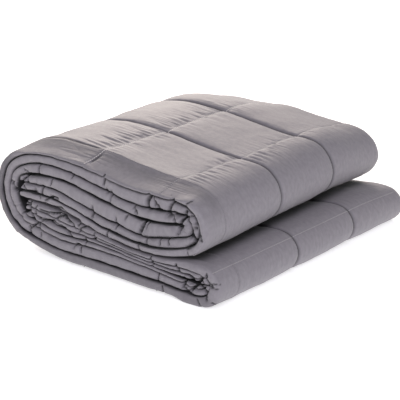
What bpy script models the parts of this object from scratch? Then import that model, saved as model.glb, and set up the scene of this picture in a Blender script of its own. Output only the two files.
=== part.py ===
"""A quilted weighted blanket, folded up.

The blanket is one flat quilt. It is folded in thirds across its width, so that three plies lie
on each other, and the strip that this makes is then folded up along its length: an end run
inside, round the upper fold, back over the top, down the spine, out along the surface that it
lies on, round the lower fold and back inside. Metres, +Z up, with the near end of the stack,
where the edges of the plies show, towards -Y.
"""
import math
from collections import namedtuple

import bmesh
import bpy
from mathutils import Vector

CM = 0.01

# Driving dimensions
POCKET = 12.2 * CM            # sewn squares, seam to seam
BORDER = 4.1 * CM             # from the near hem to the first seam beside it
POCKETS_DEEP = 3              # squares from the near seam to the far fold
PLY_DEPTH = BORDER + POCKETS_DEEP * POCKET
GAP = 0.22 * CM               # clear space between two plies
SEAM_AT = (4.0 * CM, 12.0 * CM)   # a seam runs across the top ply over this point of the section
CENTRE_X = -5.07 * CM         # middle of the stack, in the coordinates of the table below
CENTRE_Y = 20.21 * CM         # and measured from the near end of a straight ply

# The stack is heavy, so it lies lower in some places than its near section shows
BED = 0.34 * CM               # how far its weight presses the underside flat
SETTLE = 0.03                 # share by which it is lower behind its near end
SETTLE_REACH = 7.0 * CM
FAR_DROP = 0.085
SPINE_DROP = 0.06              # the far end falls away more over the spine
SPINE_DROP_FROM = -4.0 * CM
SPINE_DROP_REACH = 8.0 * CM
FAR_DROP_FROM = 30.5 * CM

# The two folds on the +X side drift with depth: the upper one in, the lower one out
UPPER_DRIFT = -1.9 * CM
LOWER_DRIFT = 0.4 * CM
DRIFT_FROM_X = 3.0 * CM
DRIFT_REACH = 7.0 * CM
MOUTH_Z = 6.0 * CM            # height of the mouth between the two folds
MOUTH_BLEND = 1.2 * CM

# The near edges of the plies stray from one plane
WAVER = 0.28 * CM
WAVER_PITCH = 4.3 * CM
WAVER_REACH = 5.0 * CM
WAVER_PHASE = {"outer": 0.0, "middle": 2.1, "near": 2.8, "inner": 3.6, "far": 0.0}

# How far the top's unfilled border sags towards the near hem
HEM_DROOP = 0.55 * CM
TOP_RUN_Z = 9.0 * CM

# How far the seams draw the cloth in, as a share of a ply's half thickness
DRAW_IN_SHOWN = 0.80          # the outer skin of the outermost ply, which is free to crown
DRAW_IN_PACKED = 0.16         # skins that press on their neighbours

# Spacing of the mesh along the strip, and across the squares of the ply that shows
STEPS_PER_POCKET = 4
STEPS_PER_REMNANT = 2         # in a part square, less than half a square long
TURN_PER_STEP = math.radians(20)
SAMPLES_PER_ROW = 24
SHARES_SHOWN = (0.0, 0.12, 0.5, 0.88)
FILL_AT_BEND = 0.8            # how full the cloth is where it bends at the far end

# The strip's section at the near end, in centimetres: the middle of its middle ply, and the
# room that each of its plies takes. Rows run along the strip, from its end in the upper fold.
Row = namedtuple("Row", "x z outer middle inner")
STRIP = (
    # run under the top one
    Row(-19.4, 9.10, 0.98, 1.10, 0.95),
    Row(-14.0, 9.25, 1.10, 1.30, 1.50),
    Row(-10.0, 8.60, 1.25, 1.15, 1.95),
    Row(-6.0, 7.55, 1.15, 1.20, 2.15),
    Row(-2.0, 6.95, 1.00, 1.15, 2.15),
    Row(1.0, 6.60, 0.95, 0.95, 2.10),
    Row(4.0, 6.95, 1.00, 1.25, 1.90),
    Row(6.8, 7.65, 1.10, 1.30, 1.55),
    # upper fold
    Row(8.75, 8.40, 1.20, 1.20, 1.25),
    Row(9.50, 9.90, 1.30, 1.15, 1.25),
    Row(8.80, 11.45, 1.35, 1.20, 1.25),
    Row(6.9, 12.10, 1.35, 1.35, 1.35),
    # top run
    Row(4.0, 12.00, 1.40, 1.90, 1.40),
    Row(0.5, 11.90, 1.70, 1.95, 1.45),
    Row(-3.0, 12.30, 1.70, 1.85, 1.40),
    Row(-7.0, 13.00, 1.55, 1.75, 1.40),
    Row(-11.0, 13.50, 1.50, 1.35, 1.40),
    Row(-15.0, 13.55, 1.45, 1.25, 1.45),
    Row(-18.5, 12.90, 1.35, 1.25, 1.25),
    # spine
    Row(-21.0, 11.35, 1.20, 1.15, 1.05),
    Row(-22.05, 8.60, 1.15, 1.10, 1.15),
    Row(-21.3, 5.70, 1.15, 1.15, 1.20),
    Row(-19.3, 3.90, 1.40, 1.30, 0.85),
    # run on the surface below
    Row(-16.2, 3.15, 1.75, 1.45, 0.80),
    Row(-12.0, 2.65, 2.04, 1.45, 0.75),
    Row(-6.0, 2.80, 2.18, 1.55, 0.70),
    Row(0.0, 2.65, 2.08, 1.45, 0.50),
    Row(5.0, 2.42, 1.98, 1.15, 0.50),
    Row(9.4, 2.05, 1.74, 0.88, 0.48),
    # lower fold
    Row(10.80, 2.32, 1.66, 0.80, 0.45),
    Row(11.30, 3.12, 1.60, 0.75, 0.45),
    Row(10.80, 3.95, 1.40, 0.80, 0.45),
    Row(8.9, 4.32, 1.08, 0.76, 0.48),
    # run inside the lower fold
    Row(4.0, 4.32, 0.62, 0.47, 0.42),
    Row(0.0, 4.45, 0.46, 0.40, 0.38),
    Row(-4.0, 4.85, 0.50, 0.44, 0.42),
    Row(-8.0, 5.15, 0.75, 0.65, 0.55),
    Row(-12.0, 5.45, 1.05, 0.95, 0.80),
    Row(-15.0, 5.88, 1.00, 0.90, 0.85),
    Row(-18.5, 6.40, 0.72, 0.80, 0.75),
)

# A hem's profile, from its edge inwards
HemStep = namedtuple("HemStep", "depth fill")
HEM = (HemStep(0.0, 0.55), HemStep(0.25 * CM, 0.88), HemStep(1.0 * CM, 1.0))
HEM_BODY = 2.6 * CM           # a last step, on the full border between the hem and its seam

# The near fold joins the middle and inner plies. Each ends in a round lip, with a crease between.
LIP_ANGLES = (90, 42, 0, -48)     # round a lip, from the outside of the fold to the crease
LIP_FRONT = 0.25 * CM
LIP_BACK = 2.0 * CM
CREASE_Y = 1.1 * CM
POUCH_FRONT = 2.0 * CM        # the fold's inner face
POUCH_BACK = 2.6 * CM

# The far fold joins the outer and middle plies in one round bend
BEND_ANGLES = (90, 45, 0, -45, -90)
BEND_DEPTH = 1.4 * CM
BEND_INSIDE = 0.5 * CM

# A spot along the strip: a row in metres, the strip's heading there and the length of the
# outermost ply up to it
Spot = namedtuple("Spot", Row._fields + ("heading", "length"))

# A place across the blanket: a ply or fold, the depth or angle there, and how full the cloth is
Place = namedtuple("Place", "kind at fill")


def smooth_step(share):
    share = min(max(share, 0.0), 1.0)
    return share * share * (3 - 2 * share)


def hermite(a, b, slope_a, slope_b, t):
    """Value at share t of the way from a to b, with the slopes at both."""
    t2 = t * t
    t3 = t2 * t
    return ((2 * t3 - 3 * t2 + 1) * a + (t3 - 2 * t2 + t) * slope_a
            + (3 * t2 - 2 * t3) * b + (t3 - t2) * slope_b)


def smooth_rows():
    """The table in metres, filled in with closely spaced rows on one smooth line."""
    rows = [Row(*(value * CM for value in row)) for row in STRIP]
    spans = [math.dist(a[:2], b[:2]) for a, b in zip(rows, rows[1:])]
    smooth = []
    for i, span in enumerate(spans):
        before = max(i - 1, 0)
        after = min(i + 2, len(rows) - 1)
        pace_in = span / sum(spans[before:i + 1])
        pace_out = span / sum(spans[i:after])
        for step in range(SAMPLES_PER_ROW):
            smooth.append(Row(*(
                hermite(rows[i][c], rows[i + 1][c],
                        (rows[i + 1][c] - rows[before][c]) * pace_in,
                        (rows[after][c] - rows[i][c]) * pace_out, step / SAMPLES_PER_ROW)
                for c in range(len(Row._fields)))))
    smooth.append(rows[-1])
    return smooth


def lay_strip():
    """Spots along the whole strip."""
    rows = smooth_rows()
    spots = []
    heading = length = 0.0
    for i, row in enumerate(rows):
        behind = rows[max(i - 1, 0)]
        ahead = rows[min(i + 1, len(rows) - 1)]
        turn = math.atan2(ahead.z - behind.z, ahead.x - behind.x) - heading
        turn = math.atan2(math.sin(turn), math.cos(turn))
        heading += turn
        if i:
            length += math.dist(row[:2], behind[:2]) + ply_offset("outer", row) * turn
        spots.append(Spot(*row, heading, length))
    return spots


def spot_at(spots, length):
    """The spot at a length along the outermost ply."""
    for a, b in zip(spots, spots[1:]):
        if length <= b.length:
            share = (length - a.length) / (b.length - a.length)
            return Spot(*(p + (q - p) * share for p, q in zip(a, b)))
    return spots[-1]


def pocket_fill(share):
    """How full a square is at a share of the way across it, from 0 at a seam to 1."""
    return math.sqrt(max(math.sin(math.pi * share), 0.0))


def places_along(spots):
    """Lengths along the strip that get a row of points, with how full the squares are there."""
    seam = min(spots, key=lambda spot: math.dist(spot[:2], SEAM_AT)).length
    end = spots[-1].length
    bounds = [0.0]
    length = seam % POCKET
    while length < end:
        bounds.append(length)
        length += POCKET
    bounds.append(end)

    along = [(step.depth, step.fill) for step in HEM]
    for a, b in zip(bounds, bounds[1:]):
        turn = abs(spot_at(spots, b).heading - spot_at(spots, a).heading)
        steps = STEPS_PER_POCKET if b - a > POCKET / 2 else STEPS_PER_REMNANT
        steps = max(steps, math.ceil(turn / TURN_PER_STEP))
        for k in range(steps):
            length = a + (b - a) * k / steps
            if HEM[-1].depth < length - HEM[0].depth and length < end - HEM[-1].depth:
                along.append((length, pocket_fill(k / steps)))
    along += [(end - step.depth, step.fill) for step in reversed(HEM)]
    return along


def places_across():
    """Places across the blanket, from the hem of the outer ply to that of the inner one."""
    across = [Place("outer", step.depth, step.fill) for step in HEM]
    across.append(Place("outer", HEM_BODY, 1.0))
    for k in range(POCKETS_DEEP):
        for share in SHARES_SHOWN:
            depth = BORDER + (k + share) * POCKET
            if depth < PLY_DEPTH - BEND_DEPTH:
                across.append(Place("outer", depth, pocket_fill(share)))
    across += [Place("far", angle, FILL_AT_BEND) for angle in BEND_ANGLES]
    for k in reversed(range(POCKETS_DEEP)):
        across.append(Place("middle", BORDER + (k + 0.5) * POCKET, 1.0))
        across.append(Place("middle", BORDER + k * POCKET, 0.0))
    steps = len(LIP_ANGLES)
    across += [Place("near", k, 1.0) for k in range(-steps, steps + 1)]
    for k in range(1, POCKETS_DEEP):
        across.append(Place("inner", k * POCKET - BORDER, 0.0))
        across.append(Place("inner", (k + 0.5) * POCKET - BORDER, 1.0))
    across.append(Place("inner", POCKETS_DEEP * POCKET - BORDER, 0.0))
    hem = POCKETS_DEEP * POCKET
    across += [Place("inner", hem - step.depth, step.fill) for step in reversed(HEM)]
    return across


def ply_offset(ply, spot):
    """How far outwards from the strip's middle the middle of a ply lies."""
    if ply == "outer":
        return (spot.middle + spot.outer) / 2
    if ply == "inner":
        return -(spot.middle + spot.inner) / 2
    return 0.0


def ply_half(ply, spot):
    """Half of a ply's own thickness, inside the room that it takes."""
    return (getattr(spot, ply) - GAP) / 2


def border_droop(depth, spot):
    """How far the top's unfilled border sags towards the near hem."""
    if depth > BORDER or spot.z < TOP_RUN_Z:
        return 0.0
    faces_up = smooth_step((-math.cos(spot.heading) - 0.35) / 0.5)
    return HEM_DROOP * faces_up * (1 - math.sin(math.pi / 2 * depth / BORDER))


def on_ply(place, side, spot, fill):
    """Depth and outward offset of a skin where a ply lies flat."""
    facing = -side if place.kind == "middle" else side
    draw_in = DRAW_IN_SHOWN if place.kind == "outer" and side > 0 else DRAW_IN_PACKED
    half = ply_half(place.kind, spot) * (1 - draw_in * (1 - fill))
    if place.kind == "outer" and side > 0:
        half -= border_droop(place.at, spot)
    return place.at, ply_offset(place.kind, spot) + facing * half


def on_far_bend(place, side, spot):
    """Depth and outward offset of a skin on the round bend at the far end."""
    angle = math.radians(place.at)
    start = PLY_DEPTH - BEND_DEPTH
    if side < 0:
        middle = ply_offset("outer", spot) / 2
        return start + BEND_INSIDE * math.cos(angle), middle + GAP / 2 * math.sin(angle)
    top = ply_offset("outer", spot) + ply_half("outer", spot)
    bottom = -ply_half("middle", spot)
    return (start + BEND_DEPTH * math.cos(angle),
            (top + bottom) / 2 + (top - bottom) / 2 * math.sin(angle))


def on_near_fold(place, side, spot):
    """Depth and outward offset of a skin on the creased fold at the near end."""
    crease = -ply_half("middle", spot) - GAP / 2
    sign = -1 if place.at > 0 else 1
    share = abs(place.at) / len(LIP_ANGLES)
    if side > 0:
        depth = POUCH_FRONT + (POUCH_BACK - POUCH_FRONT) * share
        return depth, crease + sign * GAP / 2 * math.sqrt(share)
    if place.at == 0:
        return CREASE_Y, crease
    ply = "inner" if place.at > 0 else "middle"
    angle = math.radians(LIP_ANGLES[len(LIP_ANGLES) - abs(place.at)])
    return (LIP_BACK - (LIP_BACK - LIP_FRONT) * math.cos(angle),
            ply_offset(ply, spot) + sign * ply_half(ply, spot) * math.sin(angle))


def fold_drift(x, z):
    """How far the folds on the +X side stray from the near section by the far end."""
    reach = smooth_step((x - DRIFT_FROM_X) / DRIFT_REACH)
    upper = smooth_step((z - MOUTH_Z) / MOUTH_BLEND + 0.5)
    return reach * (UPPER_DRIFT * upper + LOWER_DRIFT * (1 - upper))


def folded_point(place, side, spot, fill):
    """Where a point of the flat blanket lies once it is folded up."""
    if place.kind == "far":
        y, offset = on_far_bend(place, side, spot)
    elif place.kind == "near":
        y, offset = on_near_fold(place, side, spot)
    else:
        y, offset = on_ply(place, side, spot, min(fill, place.fill))
    stray = math.sin(spot.length / WAVER_PITCH + WAVER_PHASE[place.kind])
    y += WAVER * stray * math.exp(-y / WAVER_REACH)
    x = spot.x + offset * math.sin(spot.heading)
    z = spot.z - offset * math.cos(spot.heading) - BED
    x += fold_drift(x, z) * y / PLY_DEPTH
    z *= 1 - SETTLE * (1 - math.exp(-y / SETTLE_REACH))
    drop = FAR_DROP + SPINE_DROP * smooth_step((SPINE_DROP_FROM - x) / SPINE_DROP_REACH)
    z *= 1 - drop * smooth_step((y - FAR_DROP_FROM) / (PLY_DEPTH - FAR_DROP_FROM))
    return Vector((x - CENTRE_X, y - CENTRE_Y, max(z, 0.0)))


def folded_blanket():
    """One closed quilt: two flat skins, joined round their edge and laid along the folds."""
    spots = lay_strip()
    along = places_along(spots)
    across = places_across()
    columns = len(along) - 1
    lines = len(across) - 1

    bm = bmesh.new()
    skins = {}
    for side in (1, -1):
        grid = bmesh.ops.create_grid(bm, x_segments=columns, y_segments=lines, size=1.0)
        skins[side] = grid["verts"]
    outer_faces = {face for vert in skins[1] for face in vert.link_faces}
    bmesh.ops.reverse_faces(bm, faces=list(outer_faces))
    bmesh.ops.translate(bm, vec=(0.0, 0.0, -GAP), verts=skins[1])
    bmesh.ops.bridge_loops(bm, edges=[edge for edge in bm.edges if edge.is_boundary])

    rows = [(spot_at(spots, length), fill) for length, fill in along]
    for side, verts in skins.items():
        for vert in verts:
            spot, fill = rows[round((vert.co.x + 1) / 2 * columns)]
            place = across[round((vert.co.y + 1) / 2 * lines)]
            vert.co = folded_point(place, side, spot, fill)
    return bm


def cotton():
    """Fine cotton in a lilac grey."""
    material = bpy.data.materials.new("quilted_cotton")
    material.use_nodes = True
    shader = material.node_tree.nodes["Principled BSDF"]
    shader.inputs["Base Color"].default_value = (0.27, 0.255, 0.272, 1.0)
    shader.inputs["Roughness"].default_value = 0.72
    shader.inputs["Metallic"].default_value = 0.0
    return material


def main():
    for obj in list(bpy.data.objects):
        bpy.data.objects.remove(obj, do_unlink=True)
    collection = bpy.data.collections.new("weighted_blanket")
    bpy.context.scene.collection.children.link(collection)

    bm = folded_blanket()
    mesh = bpy.data.meshes.new("blanket")
    bm.to_mesh(mesh)
    bm.free()
    mesh.materials.append(cotton())
    mesh.shade_smooth()
    collection.objects.link(bpy.data.objects.new("blanket", mesh))


main()
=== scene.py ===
# %% [markdown]
# # A folded weighted blanket
# The blanket is one quilt of two cotton faces with a bead filling between them, sewn into
# squares. It is folded in thirds across its width and the strip that makes is folded up along
# its length. The solid model already holds that shape with few faces. Here the same folds are
# laid again with a fine mesh, so that seams, puckers, hems and ply ends can be modelled.

# %% Load the frame
import math
from collections import namedtuple

import bmesh
import bpy
import numpy as np
from mathutils import Matrix, Vector, noise


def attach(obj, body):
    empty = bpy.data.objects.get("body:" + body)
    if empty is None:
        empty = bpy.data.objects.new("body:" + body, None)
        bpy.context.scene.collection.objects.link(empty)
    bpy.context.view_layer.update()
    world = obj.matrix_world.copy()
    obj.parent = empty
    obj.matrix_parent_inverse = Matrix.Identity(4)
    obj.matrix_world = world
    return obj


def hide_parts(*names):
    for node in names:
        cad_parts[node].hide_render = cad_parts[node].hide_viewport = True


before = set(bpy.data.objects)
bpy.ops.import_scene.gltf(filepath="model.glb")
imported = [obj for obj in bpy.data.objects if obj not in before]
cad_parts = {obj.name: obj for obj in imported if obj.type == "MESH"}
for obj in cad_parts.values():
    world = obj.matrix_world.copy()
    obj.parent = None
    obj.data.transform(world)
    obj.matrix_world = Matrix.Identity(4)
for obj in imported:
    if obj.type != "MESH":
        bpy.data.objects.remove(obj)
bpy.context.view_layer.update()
CM = 0.01
MM = 0.001

# %% [markdown]
# ## The camera
# The stack is seen from its near left-hand side, about 20 degrees above the surface. A long lens
# keeps the far edges almost parallel to the near ones, as they are on the real thing.

# %% Place the camera
CAMERA_AZIMUTH = 39.06
CAMERA_ELEVATION = 20.01
CAMERA_DISTANCE = 2.0387
CAMERA_TARGET = Vector((0.0505, -0.0726, 0.0770))
CAMERA_LENS = 144.0
CAMERA_SENSOR = 36.0


def towards(azimuth, elevation):
    """Unit vector from the stack to a camera or a light at these angles, in degrees."""
    az, el = math.radians(azimuth), math.radians(elevation)
    return Vector((math.sin(az) * math.cos(el), -math.cos(az) * math.cos(el), math.sin(el)))


def add_camera():
    away = towards(CAMERA_AZIMUTH, CAMERA_ELEVATION)
    data = bpy.data.cameras.new("camera")
    data.lens = CAMERA_LENS
    data.sensor_width = CAMERA_SENSOR
    camera = bpy.data.objects.new("camera", data)
    camera.location = CAMERA_TARGET + away * CAMERA_DISTANCE
    camera.rotation_euler = away.to_track_quat("Z", "Y").to_euler()
    bpy.context.scene.collection.objects.link(camera)
    bpy.context.scene.camera = camera
    return camera


camera = add_camera()
print("camera at", [round(value, 3) for value in camera.location])

# %% [markdown]
# ## The strip's section
# Seen from its near end, the strip runs in, round the upper fold, back over the top, down the
# spine, out along the surface, round the lower fold and in again. A short table holds the middle
# of the strip and the room that each of its three plies takes. It could be a curve object, but a
# table with a column for each ply lets one row say both where the cloth lies and how thick it is.

# %% The table, in centimetres
Row = namedtuple("Row", "x z outer middle inner")
STRIP = (
    # run under the top one
    Row(-19.4, 9.10, 0.98, 1.10, 0.95),
    Row(-14.0, 9.25, 1.10, 1.30, 1.50),
    Row(-10.0, 8.60, 1.25, 1.15, 1.95),
    Row(-6.0, 7.55, 1.15, 1.20, 2.15),
    Row(-2.0, 6.95, 1.00, 1.15, 2.15),
    Row(1.0, 6.60, 0.95, 0.95, 2.10),
    Row(4.0, 6.95, 1.00, 1.25, 1.90),
    Row(6.8, 7.65, 1.10, 1.30, 1.55),
    # upper fold
    Row(8.75, 8.40, 1.20, 1.20, 1.25),
    Row(9.50, 9.90, 1.30, 1.15, 1.25),
    Row(8.80, 11.45, 1.35, 1.20, 1.25),
    Row(6.9, 12.10, 1.35, 1.35, 1.35),
    # top run
    Row(4.0, 12.00, 1.40, 1.90, 1.40),
    Row(0.5, 11.90, 1.70, 1.95, 1.45),
    Row(-3.0, 12.30, 1.70, 1.85, 1.40),
    Row(-7.0, 13.00, 1.55, 1.75, 1.40),
    Row(-11.0, 13.50, 1.50, 1.35, 1.40),
    Row(-15.0, 13.55, 1.45, 1.25, 1.45),
    Row(-18.5, 12.90, 1.35, 1.25, 1.25),
    # spine
    Row(-21.0, 11.35, 1.20, 1.15, 1.05),
    Row(-22.05, 8.60, 1.15, 1.10, 1.15),
    Row(-21.3, 5.70, 1.15, 1.15, 1.20),
    Row(-19.3, 3.90, 1.40, 1.30, 0.85),
    # run on the surface below
    Row(-16.2, 3.15, 1.75, 1.45, 0.80),
    Row(-12.0, 2.65, 2.04, 1.45, 0.75),
    Row(-6.0, 2.80, 2.18, 1.55, 0.70),
    Row(0.0, 2.65, 2.08, 1.45, 0.50),
    Row(5.0, 2.42, 1.98, 1.15, 0.50),
    Row(9.4, 2.05, 1.74, 0.88, 0.48),
    # lower fold
    Row(10.80, 2.32, 1.66, 0.80, 0.45),
    Row(11.30, 3.12, 1.60, 0.75, 0.45),
    Row(10.80, 3.95, 1.40, 0.80, 0.45),
    Row(8.9, 4.32, 1.08, 0.76, 0.48),
    # run inside the lower fold
    Row(4.0, 4.32, 0.62, 0.47, 0.42),
    Row(0.0, 4.45, 0.46, 0.40, 0.38),
    Row(-4.0, 4.85, 0.50, 0.44, 0.42),
    Row(-8.0, 5.15, 0.75, 0.65, 0.55),
    Row(-12.0, 5.45, 1.05, 0.95, 0.80),
    Row(-15.0, 5.88, 1.00, 0.90, 0.85),
    Row(-18.5, 6.40, 0.72, 0.80, 0.75),
)

POCKET = 12.2 * CM
BORDER = 4.1 * CM
POCKETS_DEEP = 3
PLY_DEPTH = BORDER + POCKETS_DEEP * POCKET
GAP = 0.09 * CM
SEAM_AT = (4.0 * CM, 12.0 * CM)
CENTRE_X = -5.07 * CM
CENTRE_Y = 20.21 * CM
print("rows in the table:", len(STRIP), "and ply depth", PLY_DEPTH)

# %% [markdown]
# ## Laying the strip
# The rows are joined by one smooth line. Each spot on it also knows which way the strip is
# heading and how much of the outermost ply has been laid, because the seams are spaced evenly
# along that ply: it is the one that shows.

# %% Smooth line through the rows
SAMPLES_PER_ROW = 24
Spot = namedtuple("Spot", Row._fields + ("heading", "length"))


def smooth_step(share):
    share = min(max(share, 0.0), 1.0)
    return share * share * (3 - 2 * share)


def hermite(a, b, slope_a, slope_b, t):
    t2 = t * t
    t3 = t2 * t
    return ((2 * t3 - 3 * t2 + 1) * a + (t3 - 2 * t2 + t) * slope_a
            + (3 * t2 - 2 * t3) * b + (t3 - t2) * slope_b)


def smooth_rows():
    rows = [Row(*(value * CM for value in row)) for row in STRIP]
    spans = [math.dist(a[:2], b[:2]) for a, b in zip(rows, rows[1:])]
    smooth = []
    for i, span in enumerate(spans):
        before = max(i - 1, 0)
        after = min(i + 2, len(rows) - 1)
        pace_in = span / sum(spans[before:i + 1])
        pace_out = span / sum(spans[i:after])
        for step in range(SAMPLES_PER_ROW):
            smooth.append(Row(*(
                hermite(rows[i][c], rows[i + 1][c],
                        (rows[i + 1][c] - rows[before][c]) * pace_in,
                        (rows[after][c] - rows[i][c]) * pace_out, step / SAMPLES_PER_ROW)
                for c in range(len(Row._fields)))))
    smooth.append(rows[-1])
    return smooth


def ply_offset(ply, spot):
    """How far outwards from the strip's middle the middle of a ply lies."""
    if ply == "outer":
        return (spot.middle + spot.outer) / 2
    if ply == "inner":
        return -(spot.middle + spot.inner) / 2
    return 0.0


def lay_strip():
    rows = smooth_rows()
    spots = []
    heading = length = 0.0
    for i, row in enumerate(rows):
        behind = rows[max(i - 1, 0)]
        ahead = rows[min(i + 1, len(rows) - 1)]
        turn = math.atan2(ahead.z - behind.z, ahead.x - behind.x) - heading
        turn = math.atan2(math.sin(turn), math.cos(turn))
        heading += turn
        if i:
            length += math.dist(row[:2], behind[:2]) + ply_offset("outer", row) * turn
        spots.append(Spot(*row, heading, length))
    return spots


spots = lay_strip()
STRIP_LENGTH = spots[-1].length
spot_lengths = np.array([spot.length for spot in spots])
spot_columns = np.array(spots).T
print("the strip is", round(STRIP_LENGTH, 3), "m long on its outermost ply")


def spot_at(length):
    return Spot(*(float(np.interp(length, spot_lengths, column)) for column in spot_columns))


# %% [markdown]
# ## Where the seams run
# Seams across the strip are a square apart, counted from the one that crosses the top ply. Seams
# along the strip start a border's width from the near hem. Everything that the sewing does to
# the cloth is measured from these two lists.

# %% Seam positions
seam_length = min(spots, key=lambda spot: math.dist(spot[:2], SEAM_AT)).length
first_seam = seam_length % POCKET
CROSS_SEAMS = np.arange(first_seam, STRIP_LENGTH, POCKET)
LONG_SEAMS = np.array([BORDER + k * POCKET for k in range(POCKETS_DEEP + 1)])
print(len(CROSS_SEAMS), "seams across the strip, first at", round(first_seam / CM, 1), "cm")


def nearest(seams, at):
    """Signed distance to the nearest seam, and which seam it is."""
    index = int(np.abs(seams - at).argmin())
    return at - float(seams[index]), index


# %% [markdown]
# ## What sewing and filling do to a face
# Each square swells between its seams, and a seam draws the two faces together in a sharp
# valley. The thread also gathers the cloth a little, which throws short ridges across the seam:
# puckers. Seams across the strip were sewn last and are gathered most. Noise along a seam,
# stretched away from it, gives ridges of uneven height and spacing. The main troughs beside two
# seams on top are placed one by one as well, in a table.

# %% Sizes of the relief
LONG_PINCH = 0.80             # share of the half thickness that a seam along the strip takes
LONG_PINCH_NEAR = 0.65 * CM   # before the seam the pocket turns down sharply,
LONG_PINCH_WALL = 0.27 * CM   # behind it the next one rises in a wall, then in a long slope
LONG_WALL_SHARE = 0.62
LONG_PINCH_FAR = 2.0 * CM
NEAR_PINCH = 0.02             # the seam beside the near hem, where the top bends down
HEM_LOW = -0.45               # on top the hem droops below the middle of its ply
HEM_LIFTED = 0.35             # underneath it lifts off the surface a little
HEM_FULL = 0.90
LOW_RUN_Z = 4.0 * CM
TOP_RUN_Z = 9.0 * CM
BORDER_CURVE = 1.6
BORDER_SWELL = 0.06
CREST_RISE = 0.22             # the seam beside the near hem stands on a crest on top
CREST_BACK = 2.5 * CM
CROSS_PINCH = 0.24
CROSS_PINCH_STEEP = 0.45 * CM
CROSS_PINCH_GENTLE = 2.2 * CM
TAUT_SHARE = 0.7              # seams pinch less where the cloth is tight
TAUT_X = 6.0 * CM
TAUT_SPINE_X = -18.0 * CM
TAUT_BLEND = 2.5 * CM
CREST_HOLD = 0.7              # the crest beside the near hem is pinched less
CREST_HOLD_REACH = 2.2 * CM
LONG_GROOVE = 1.9 * MM
GROOVE_WIDTH = 1.7 * MM
NEAR_GROOVE = 0.15            # the seam beside the near hem is drawn in only on the left
NEAR_GROOVE_FROM = -8.6 * CM
NEAR_GROOVE_BLEND = 1.2 * CM
PUCKER_HEIGHT = 1.6 * MM
PUCKER_SPACING = 8.5 * MM
PUCKER_REACH = 2.7 * CM
PUCKER_START = 2.2 * MM
LONG_PUCKER_HEIGHT = 0.7 * MM
LONG_PUCKER_SPACING = 12.0 * MM
LONG_PUCKER_REACH = 1.2 * CM
PACKED_PINCH = 0.16
OTHER_SIDE = 17.0             # the noise on the other side of a seam is drawn from elsewhere
LONG_ROWS = 30                # and that of the seams along the strip from elsewhere again
PATCH_PITCH = 5.0 * CM        # gathers come and go along a seam in patches
PATCH_BASE, PATCH_GAIN, PATCH_CONTRAST = 0.45, 0.95, 1.1
PATCH_LAYER = 80.0
PUCKER_LEAN = 0.18
LEAN_PITCH = 6.0 * CM
LEAN_LAYER = 120.0
FINE_SHARE, COARSE_SHARE = 1.5, 0.7
FINE_STRETCH, COARSE_STRETCH = 7.0 * CM, 9.0 * CM
COARSE_PACE = 0.45            # coarse ridges follow one another this much more slowly
COARSE_LAYER = 40.0
PATCH_STEP, LEAN_STEP, FINE_STEP, COARSE_STEP = 3.7, 2.9, 5.3, 9.1  # from one seam to the next

RIGHT_SEAM = nearest(CROSS_SEAMS, seam_length)[1]
Pull = namedtuple("Pull", "strength reach")
CALM_PULL = 0.3               # seams that aren't in the table hardly gather the cloth
SEAM_PULL = {                 # by seam across the strip, and whether further along it or not
    (RIGHT_SEAM, False): Pull(0.85, 2.6 * CM),
    (RIGHT_SEAM, True): Pull(0.7, 1.4 * CM),
    (RIGHT_SEAM + 1, False): Pull(0.8, 1.5 * CM),
    (RIGHT_SEAM + 1, True): Pull(0.9, 3.6 * CM),
}


def noise_at(x, y, z):
    return noise.noise(Vector((x, y, z)))


def noise_row(seam, away, step):
    """Each side of each seam draws its noise from a row of its own."""
    return seam * step + (OTHER_SIDE if away > 0 else 0.0)


def gather(along, away, seam, reach):
    """How strongly a seam gathers the cloth beside it, from 0 to about 2. It varies along it."""
    pull = SEAM_PULL.get((seam, away > 0), Pull(CALM_PULL, reach))
    wave = noise_at(along / PATCH_PITCH, noise_row(seam, away, PATCH_STEP), PATCH_LAYER)
    patch = PATCH_BASE + PATCH_GAIN * smooth_step(0.5 + PATCH_CONTRAST * wave)
    strength = patch * pull.strength
    return math.exp(-abs(away) / pull.reach) * (1 - math.exp(-abs(away) / PUCKER_START)) * strength


def puckers(along, away, seam, spacing, reach):
    """Uneven ridges across a seam, from about -1 to 1, that fade with the distance from it."""
    lean = PUCKER_LEAN * away * noise_at(
        along / LEAN_PITCH, noise_row(seam, away, LEAN_STEP), LEAN_LAYER)
    spread = (along + lean) / spacing
    fine = noise_at(spread, noise_row(seam, away, FINE_STEP), abs(away) / FINE_STRETCH)
    coarse = noise_at(spread * COARSE_PACE, noise_row(seam, away, COARSE_STEP) + COARSE_LAYER,
                      abs(away) / COARSE_STRETCH)
    return (FINE_SHARE * fine + COARSE_SHARE * coarse) * gather(along, away, seam, reach)


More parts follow.
